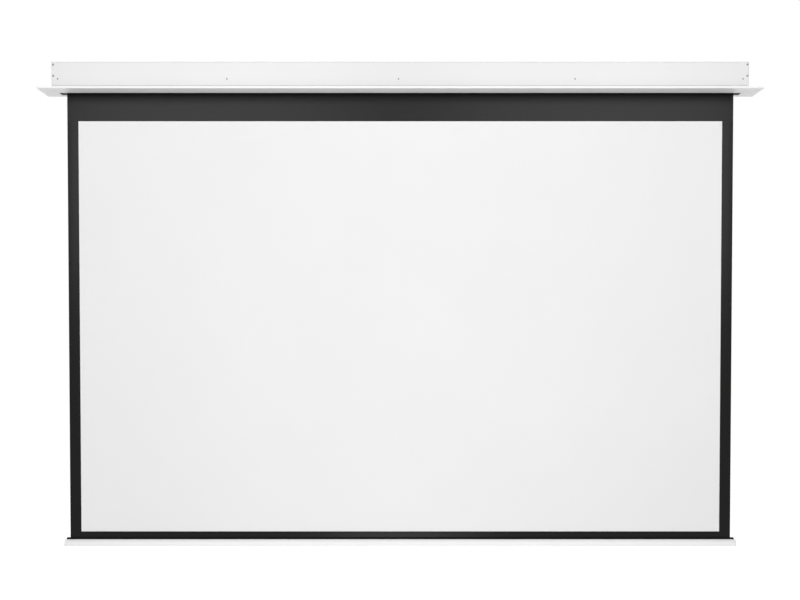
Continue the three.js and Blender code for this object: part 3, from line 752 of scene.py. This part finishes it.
def pvc_sheath(tree, place, _):
    """Extruded PVC: smooth, slightly waxy black."""
    marks = add(tree, "TexNoise", {"Vector": place, "Scale": 1 / (1.5 * mm), "Detail": 2.0})
    tone = add(tree, "Mix", {
        "Factor": marks.outputs["Fac"], "A": colour("#19191A"), "B": colour("#131314"),
    }, data_type="RGBA")
    relief = add(tree, "Bump", {"Height": marks.outputs["Fac"], "Strength": 0.2, "Distance": 0.03 * mm})
    return {"Base Color": tone.outputs["Result"], "Roughness": 0.44, "Normal": relief.outputs["Normal"]}


sheath = surface("black_pvc_sheath", pvc_sheath)
line = bpy.data.curves.new("lead_line", "CURVE")
line.dimensions = "3D"
line.bevel_depth = lead_radius * mm
line.bevel_resolution = 5
line.resolution_u = 8
line.use_fill_caps = True
run = line.splines.new("BEZIER")
run.bezier_points.add(len(lead_route) - 1)
for point, place in zip(run.bezier_points, lead_route):
    point.co = [v * mm for v in place]
    point.handle_left_type = point.handle_right_type = "AUTO"
lead = bpy.data.objects.new("motor_cable", line)
bpy.context.collection.objects.link(lead)
alone(lead)
bpy.ops.object.convert(target="MESH")
lead = bpy.context.object
wearing(lead, sheath, "case", "cable_sheath", "motor_lead")

# Roller tube: extruded aluminium, 78 mm across, with an inward channel at the bottom that holds the rod
# welded to the fabric's edge.
tube_radius = 39
tube_wall = 2
tube_half = 1504.5
groove_mouth = 1.6
groove_half = 3.2
groove_lip = 1.4
groove_depth = 7.2
groove_wall = 1.5


def drawn_aluminium(tree, place, _):
    """Extruded aluminium, mill finish: die lines along x and a dull sheen."""
    lines = add(tree, "Mapping", {"Vector": place, "Scale": (4, 900, 900)})
    marks = add(tree, "TexNoise", {"Vector": lines.outputs["Vector"], "Scale": 1.0, "Detail": 4.0})
    tone = add(tree, "Mix", {
        "Factor": marks.outputs["Fac"], "A": colour("#D2D4D6"), "B": colour("#BBBDC0"),
    }, data_type="RGBA")
    gloss = add(tree, "MapRange", {"Value": marks.outputs["Fac"], "To Min": 0.3, "To Max": 0.46})
    relief = add(tree, "Bump", {"Height": marks.outputs["Fac"], "Strength": 0.25, "Distance": 0.02 * mm})
    return {
        "Base Color": tone.outputs["Result"], "Metallic": 1.0, "Roughness": gloss.outputs["Result"],
        "Normal": relief.outputs["Normal"],
    }


mill_aluminium = surface("mill_finish_aluminium", drawn_aluminium)


def open_round(radius, half, across):
    """A circle that is open at the bottom, with other points across the opening."""
    edge = math.asin(half / radius)
    ring = arc((roller_y, roller_z), radius, edge - math.pi / 2, 2 * (math.pi - edge), 96)
    return ring + [(roller_y + y, roller_z + z) for y, z in across]


lip_z = groove_lip - tube_radius
roof_z = groove_depth - tube_radius
outside = open_round(tube_radius, groove_mouth, [
    (-groove_mouth, lip_z), (-groove_half, lip_z), (-groove_half, roof_z), (groove_half, roof_z),
    (groove_half, lip_z), (groove_mouth, lip_z),
])
guard = groove_half + groove_wall
inside_points = open_round(tube_radius - tube_wall, guard, [
    (-guard, roof_z + groove_wall), (guard, roof_z + groove_wall),
])
tube = drawn("roller_profile", outside, -tube_half, tube_half)
combined(tube, [drawn("cutter", inside_points, -tube_half - spare, tube_half + spare)], "DIFFERENCE")
wearing(tube, mill_aluminium, "roller", "aluminium", "roller_tube")

# Fabric: a black surround round a matt white field, PVC-coated glass cloth half a millimetre thick. The
# black strips lap over the white's edges and are welded there. What stays on the tube is one strip.
fabric_half = 1500
fabric_y = 38
fabric_thickness = 0.5
hung_thickness = 0.45
field_y = fabric_y + 0.55
strip_y = fabric_y + 0.05
curl_from = 1470
curl_depth = 0.9
image_half = 1450
image_top, image_bottom = -242, -2097
weld_lap = 8
clamp_top = -2124
clamp_bite = 2.2
wrap_pitch = 0.69
wrap_turns = 1.75
wrap_outer = 40.76
wrap_steps = 168
wrap_tuck = 0.3
thread = 1.2  # the real one's 0.5 mm threads are drawn this coarse, so that a close view shows them


def coated_cloth(name, code, shade, roughness, shine, depth):
    """Coated cloth: the plain weave shows through the coating as a fine chequered relief and tone."""
    def feeds(tree, _, uv):
        waves = 2 * math.pi / (20 * thread * mm)  # a wave texture of scale 1 has one wave in 2 pi / 20
        sides = []
        for direction in ("X", "Y"):
            wave = add(tree, "TexWave", {"Vector": uv, "Scale": waves}, bands_direction=direction)
            height = {"Value": wave.outputs["Fac"], "To Min": -0.7, "To Max": 0.7}
            sides.append(add(tree, "MapRange", height))
        over, under = (side.outputs["Result"] for side in sides)
        weave = add(tree, "Math", {0: over, 1: under, 2: 0.5}, operation="MULTIPLY_ADD")
        relief = add(tree, "Bump", {
            "Height": weave.outputs["Value"], "Strength": depth, "Distance": 0.12 * mm,
        })
        drift = add(tree, "TexNoise", {"Vector": uv, "Scale": 1.7, "Detail": 2.0})
        share = add(tree, "Mix", {
            "Factor": 0.4, "A": weave.outputs["Value"], "B": drift.outputs["Fac"],
        }, data_type="FLOAT")
        tone = add(tree, "Mix", {
            "Factor": share.outputs["Result"], "A": colour(shade), "B": colour(code),
        }, data_type="RGBA")
        return {
            "Base Color": tone.outputs["Result"], "Roughness": roughness, "Specular IOR Level": shine,
            "Normal": relief.outputs["Normal"],
        }
    return surface(name, feeds)


black_cloth = coated_cloth("black_pvc_coated_cloth", "#0C0C0C", "#040404", 0.28, 0.175, 0.2)
white_cloth = coated_cloth("matt_white_pvc_coated_cloth", "#FAFAFA", "#EFEFEF", 0.86, 0.2, 0.6)


def cloth(name, x0, x1, z0, z1, y, columns, rows):
    """A hanging strip of cloth between two heights, with its own UV in metres."""
    bpy.ops.object.select_all(action="DESELECT")
    bpy.ops.mesh.primitive_grid_add(
        x_subdivisions=columns, y_subdivisions=rows, size=1, rotation=(math.pi / 2, 0, 0),
        location=((x0 + x1) / 2 * mm, y * mm, (z0 + z1) / 2 * mm),
    )
    bpy.context.object.scale = ((x1 - x0) * mm, (z1 - z0) * mm, 1)
    piece = settled(name)
    for vertex in piece.data.vertices:
        curl = max(0, (abs(vertex.co.x) / mm - curl_from) / (fabric_half - curl_from))
        vertex.co.y += curl_depth * mm * curl * curl
    uv = piece.data.uv_layers.active or piece.data.uv_layers.new()
    for loop in piece.data.loops:
        spot = piece.data.vertices[loop.vertex_index].co
        uv.data[loop.index].uv = (spot.x, spot.z)
    return worked(piece, "SOLIDIFY", thickness=hung_thickness * mm, offset=0)


def raised_by_roller(piece):
    """Gives a piece of hanging cloth a mesh of its own."""
    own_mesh(piece)


field_half = image_half + weld_lap
field = cloth(
    "white_field", -field_half, field_half, image_bottom, image_top + weld_lap, field_y,
    columns=60, rows=30,
)
wearing(field, white_cloth, "case", "fabric_white", "projection_surface")
raised_by_roller(field)

drop = cloth("black_drop", -fabric_half, fabric_half, image_top, roller_z, strip_y, columns=60, rows=6)
wearing(drop, black_cloth, "case", "fabric_black", "top_drop")
raised_by_roller(drop)

for end, sign in (("left", -1), ("right", 1)):
    inner, outer = sorted((sign * image_half, sign * fabric_half))
    strip = cloth(
        f"black_edge_{end}", inner, outer, image_bottom, image_top, strip_y, columns=8, rows=30
    )
    wearing(strip, black_cloth, "case", "fabric_black", f"border_{end}")
    raised_by_roller(strip)

foot_strip = cloth(
    "black_foot", -fabric_half, fabric_half, clamp_top - clamp_bite, image_bottom, strip_y,
    columns=60, rows=3,
)
wearing(foot_strip, black_cloth, "screen_bar", "fabric_black", "border_bottom")

spiral = []
for i in range(wrap_steps + 1):
    at = wrap_turns * 2 * math.pi * i / wrap_steps
    radius = wrap_outer - wrap_pitch * wrap_turns * i / wrap_steps
    spiral.append((radius * math.cos(at), radius * math.sin(at)))
spiral += [(wrap_tuck, wrap_tuck - tube_radius), (wrap_tuck, lip_z)]
bpy.ops.object.select_all(action="DESELECT")
bpy.ops.mesh.primitive_grid_add(x_subdivisions=2, y_subdivisions=len(spiral) - 1, size=1)
roll = settled("wound_cloth")
rows = sorted({round(v.co.y, 6) for v in roll.data.vertices})
lengths = [0]
for a, b in zip(spiral, spiral[1:]):
    lengths.append(lengths[-1] + math.hypot(b[0] - a[0], b[1] - a[1]))
layer = roll.data.uv_layers.active or roll.data.uv_layers.new()
row_of = {v.index: rows.index(round(v.co.y, 6)) for v in roll.data.vertices}
side_of = {v.index: v.co.x * 2 * fabric_half for v in roll.data.vertices}
for loop in roll.data.loops:
    index = loop.vertex_index
    layer.data[loop.index].uv = (side_of[index] * mm, lengths[row_of[index]] * mm)
for vertex in roll.data.vertices:
    y, z = spiral[row_of[vertex.index]]
    vertex.co = (side_of[vertex.index] * mm, (roller_y + y) * mm, (roller_z + z) * mm)
worked(roll, "SOLIDIFY", thickness=fabric_thickness * mm, offset=0)
wearing(roll, black_cloth, "roller", "fabric_black", "wound_fabric")

# Bottom bar: a hollow domed aluminium extrusion with a white powder coat, closed by a white ABS cap at
# each end. Its black clamp slides into the channel on top and grips the rod in the fabric's hem.
bar_z = -2160
bar_half = 1515
bar_depth = 27
bar_height = 28.4
bar_flat = 8
bar_wall = 2
bar_cap = 6.75
foot_neck, foot_half, foot_height = 2.3, 3.6, 2.2
lip_depth = 1.6
channel_wall = 1.4
running = 0.3  # play of the clamp's foot in the channel
spigot_reach = 10
spigot_half = 15
spigot_low, spigot_high = bar_z + 4, bar_z + 17


def dome(depth, height, base, steps=28):
    """The right half of the domed outline, from its lower corner to the flat on top."""
    rise = height / math.sqrt(1 - (bar_flat / depth) ** 2)
    end = math.acos(bar_flat / depth)
    angles = [end * i / steps for i in range(steps + 1)]
    return [(depth * math.cos(a), base + rise * math.sin(a)) for a in angles]


def both_halves(points):
    """An outline from its right half, set on the bar's place."""
    whole = points + [(-y, z) for y, z in reversed(points)]
    return [(fabric_y + y, bar_z + z) for y, z in whole]


channel_floor = bar_height - lip_depth - foot_height - 2 * running
channel = [
    (foot_neck + running, bar_height), (foot_neck + running, bar_height - lip_depth),
    (foot_half + running, bar_height - lip_depth), (foot_half + running, channel_floor),
]
outer_dome = dome(bar_depth, bar_height, 0)
profile = drawn("bar_extrusion", both_halves(outer_dome + channel), -bar_half, bar_half)
guard_y = foot_half + running + channel_wall
inner_dome = dome(bar_depth - bar_wall, bar_height - 2 * bar_wall, bar_wall)
hollow_points = both_halves(inner_dome + [
    (guard_y, bar_height - bar_wall), (guard_y, channel_floor - channel_wall),
])
hollow = drawn("cutter", hollow_points, -bar_half - spare, bar_half + spare)
eased(profile, radius=0.35, angle=50)
combined(profile, [hollow], "DIFFERENCE")
wearing(profile, lightened_white_coat, "screen_bar", "bar_paint", "bar_profile")

white_abs = surface("white_moulded_abs", moulded("#F1F1F1", "#EEEEEE", 0.6))
for end, sign in (("left", -1), ("right", 1)):
    first, second = sorted((sign * (bar_half + seat), sign * (bar_half + seat + bar_cap)))
    cap = drawn(f"bar_end_{end}", both_halves(outer_dome), first, second)
    eased(cap, radius=1.1, segments=4, angle=50)
    near, far = sorted((sign * (bar_half - spigot_reach), sign * (bar_half + seat + bar_cap / 2)))
    spigot = slab(
        "spigot", (near, fabric_y - spigot_half, spigot_low), (far, fabric_y + spigot_half, spigot_high)
    )
    combined(cap, [eased(spigot, radius=1)], "UNION")
    wearing(cap, white_abs, "screen_bar", "cap_plastic", f"bar_cap_{end}")

clamp_height = 7.6
clamp_chamfer = 1.6
clamp_mouth = 0.55
hem_drop = 4.2
hem_bore = 2.1
clamp_high = bar_height + clamp_height
hem_z = clamp_high - hem_drop
gap = math.asin(clamp_mouth / hem_bore)
bore = arc((fabric_y, bar_z + hem_z), hem_bore, math.pi / 2 - gap, 2 * (gap - math.pi), 32)
foot_top = bar_height - lip_depth - running
half_outline = [
    (clamp_mouth, clamp_high), (bar_flat - clamp_chamfer, clamp_high),
    (bar_flat, clamp_high - clamp_chamfer), (bar_flat, bar_height + seat),
    (foot_neck, bar_height + seat), (foot_neck, foot_top),
    (foot_half, foot_top), (foot_half, foot_top - foot_height),
]
clamp_points = both_halves(half_outline) + list(reversed(bore))
clamp = eased(drawn("hem_clamp", clamp_points, -bar_half, bar_half), radius=0.25, segments=2)


def dyed_anodising(tree, place, _):
    """Black dyed oxide on an extrusion: the die lines along x still show in the sheen."""
    lines = add(tree, "Mapping", {"Vector": place, "Scale": (5, 1300, 1300)})
    marks = add(tree, "TexNoise", {"Vector": lines.outputs["Vector"], "Scale": 1.0, "Detail": 3.0})
    tone = add(tree, "Mix", {
        "Factor": marks.outputs["Fac"], "A": colour("#1E1E1F"), "B": colour("#161617"),
    }, data_type="RGBA")
    gloss = add(tree, "MapRange", {"Value": marks.outputs["Fac"], "To Min": 0.34, "To Max": 0.5})
    relief = add(tree, "Bump", {"Height": marks.outputs["Fac"], "Strength": 0.3, "Distance": 0.03 * mm})
    return {
        "Base Color": tone.outputs["Result"], "Metallic": 1.0, "Roughness": gloss.outputs["Result"],
        "Normal": relief.outputs["Normal"],
    }


black_anodised = surface("black_anodised_aluminium", dyed_anodising)
wearing(clamp, black_anodised, "screen_bar", "black_plastic", "fabric_clamp")

# Studio: a pale floor 0.84 m under the bar, two large softboxes in front, a small one low in front, two
# high behind, and a white surround. Camera, gloss and glass see floor and surround as white. From
# beneath the floor is clear, because such a screen is mostly looked at from below.
floor_z = -3.0
floor_lift = 0.62


def looked_at(tree):
    """One for the rays that carry a picture (camera, gloss and glass), nought for the rest."""
    rays = add(tree, "LightPath").outputs
    seen = rays["Is Camera Ray"]
    for kind in ("Is Glossy Ray", "Is Transmission Ray"):
        seen = add(tree, "Math", {0: seen, 1: rays[kind]}, operation="MAXIMUM").outputs["Value"]
    return seen


bpy.ops.object.select_all(action="DESELECT")
bpy.ops.mesh.primitive_plane_add(size=60, location=(0, 0, floor_z))
floor = settled("studio_floor")
ground = bpy.data.materials.new("pale_floor")
ground.use_nodes = True
tree = ground.node_tree
tree.nodes.clear()
lift = add(tree, "Math", {0: looked_at(tree), 1: floor_lift}, operation="MULTIPLY")
glow = add(tree, "Emission", {"Color": (1, 1, 1, 1), "Strength": lift.outputs["Value"]})
matt = add(tree, "BsdfDiffuse", {"Color": colour("#F2F2F2")})
both = add(tree, "AddShader", {0: matt.outputs["BSDF"], 1: glow.outputs["Emission"]})
clear = add(tree, "BsdfTransparent")
under = add(tree, "NewGeometry").outputs["Backfacing"]
sides = add(tree, "MixShader", {0: under, 1: both.outputs["Shader"], 2: clear.outputs["BSDF"]})
add(tree, "OutputMaterial", {"Surface": sides.outputs["Shader"]})
floor.data.materials.append(ground)

world = bpy.data.worlds.new("studio_surround")
bpy.context.scene.world = world
world.use_nodes = True
tree = world.node_tree
tree.nodes.clear()
level = add(tree, "MapRange", {"Value": looked_at(tree), "To Min": 0.44, "To Max": 1.0})
sky = add(tree, "Background", {"Color": (1, 1, 1, 1), "Strength": level.outputs["Result"]})
add(tree, "OutputWorld", {"Surface": sky.outputs["Background"]})


def softbox(name, place, aim, size, energy):
    """A rectangular lamp that stays out of sight, turned towards a point, in metres and watts."""
    bpy.ops.object.light_add(type="AREA", location=place)
    lamp = bpy.context.object
    lamp.name = name
    lamp.data.shape = "RECTANGLE"
    lamp.data.size, lamp.data.size_y = size
    lamp.data.energy = energy
    lamp.visible_camera = False
    dx, dy, dz = (b - a for a, b in zip(place, aim))
    lamp.rotation_euler = (math.atan2(math.hypot(dx, dy), -dz), 0, math.atan2(dy, dx) - math.pi / 2)


softbox("softbox_left", (-1.5, -4, 0.3), (-0.6, 0, -0.4), (2.4, 2.0), 52.3)
softbox("softbox_right", (1.5, -4, 0.3), (0.6, 0, -0.4), (2.4, 2.0), 52.3)
softbox("softbox_low", (0, -2, -2.5), (0, 0, -0.6), (0.8, 0.3), 4.5)
softbox("softbox_rear_left", (-2.8, 3.4, 2.6), (-0.6, 0, -1.2), (2.4, 1.8), 62)
softbox("softbox_rear_right", (2.8, 3.4, 2.6), (0.6, 0, -1.2), (2.4, 1.8), 62)

view = bpy.context.scene.view_settings
view.view_transform = "Standard"
